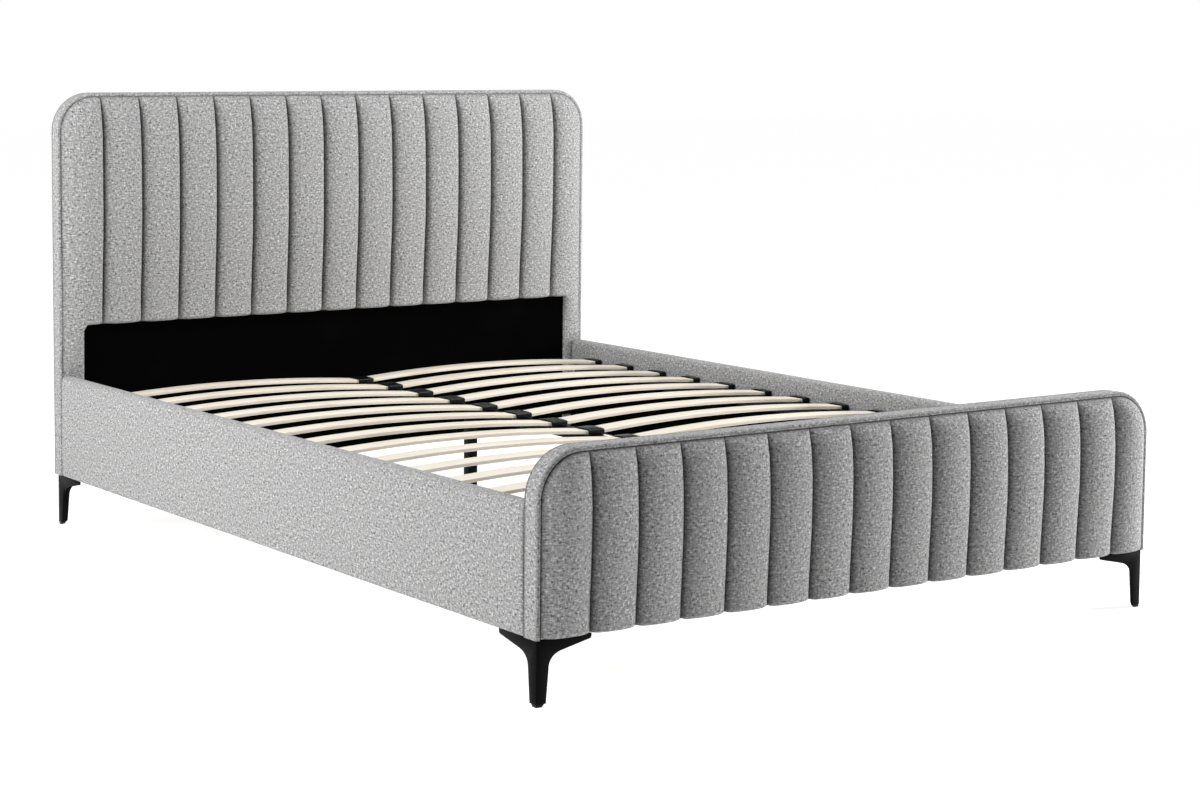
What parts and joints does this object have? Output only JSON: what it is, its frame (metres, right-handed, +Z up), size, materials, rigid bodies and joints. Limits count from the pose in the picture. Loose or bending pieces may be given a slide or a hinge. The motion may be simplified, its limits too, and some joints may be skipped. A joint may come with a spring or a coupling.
{
  "type": "upholstered bed frame",
  "caption": "Upholstered bed frame with channel-padded headboard and footboard, padded side rails, bowed slats on a centre rail, and black metal corner legs.",
  "frame": {"origin": "on the floor, under the middle of the bed's bounding box", "axes": "+Z up, +Y towards the head end, +X to the right for someone standing at the foot and facing the headboard"},
  "size_m": [1.65, 2.235, 1.116],
  "materials": {
    "grey_fabric": "light grey heathered weave",
    "black_cloth": "matt black non-woven cloth",
    "frame_timber": "plain sawn timber and board, covered",
    "birch_plywood": "pale lacquered birch veneer",
    "black_metal": "satin black powder coat",
    "black_plastic": "moulded black plastic"
  },
  "bodies": {
    "bed": {"centre_leg_foot_side": "black_metal", "centre_leg_head_side": "black_metal", "centre_rail": "black_metal", "centre_rail_foot_bracket": "black_metal", "centre_rail_head_bracket": "black_metal", "centre_slat_holders": "black_plastic", "foot_left_corner_bracket": "black_metal", "foot_left_leg": "black_metal", "foot_right_corner_bracket": "black_metal", "foot_right_leg": "black_metal", "footboard_boxing_band": "grey_fabric", "footboard_channel_pad": "grey_fabric", "footboard_frame": "frame_timber", "footboard_inner_cover": "grey_fabric", "head_left_corner_bracket": "black_metal", "head_left_leg": "black_metal", "head_right_corner_bracket": "black_metal", "head_right_leg": "black_metal", "headboard_back_cloth": "black_cloth", "headboard_boxing_band": "grey_fabric", "headboard_channel_pad": "grey_fabric", "headboard_frame": "frame_timber", "headboard_lining": "black_cloth", "left_rail_board": "frame_timber", "left_rail_cover": "grey_fabric", "left_slat_01": "birch_plywood", "left_slat_02": "birch_plywood", "left_slat_03": "birch_plywood", "left_slat_04": "birch_plywood", "left_slat_05": "birch_plywood", "left_slat_06": "birch_plywood", "left_slat_07": "birch_plywood", "left_slat_08": "birch_plywood", "left_slat_09": "birch_plywood", "left_slat_10": "birch_plywood", "left_slat_11": "birch_plywood", "left_slat_12": "birch_plywood", "left_slat_13": "birch_plywood", "left_slat_caps": "black_plastic", "left_slat_ledge": "black_metal", "right_rail_board": "frame_timber", "right_rail_cover": "grey_fabric", "right_slat_01": "birch_plywood", "right_slat_02": "birch_plywood", "right_slat_03": "birch_plywood", "right_slat_04": "birch_plywood", "right_slat_05": "birch_plywood", "right_slat_06": "birch_plywood", "right_slat_07": "birch_plywood", "right_slat_08": "birch_plywood", "right_slat_09": "birch_plywood", "right_slat_10": "birch_plywood", "right_slat_11": "birch_plywood", "right_slat_12": "birch_plywood", "right_slat_13": "birch_plywood", "right_slat_caps": "black_plastic", "right_slat_ledge": "black_metal"},
    "head_side_levelling_foot": {"levelling_foot_head_side": "black_plastic"},
    "foot_side_levelling_foot": {"levelling_foot_foot_side": "black_plastic"}
  },
  "joints": [
    {"name": "head_side_foot_travel", "type": "slide", "parent": "bed", "child": "head_side_levelling_foot", "axis": [0, 0, 1], "range_m": [-0.005, 0.01]},
    {"name": "foot_side_foot_travel", "type": "slide", "parent": "bed", "child": "foot_side_levelling_foot", "axis": [0, 0, 1], "range_m": [-0.005, 0.01]}
  ]
}
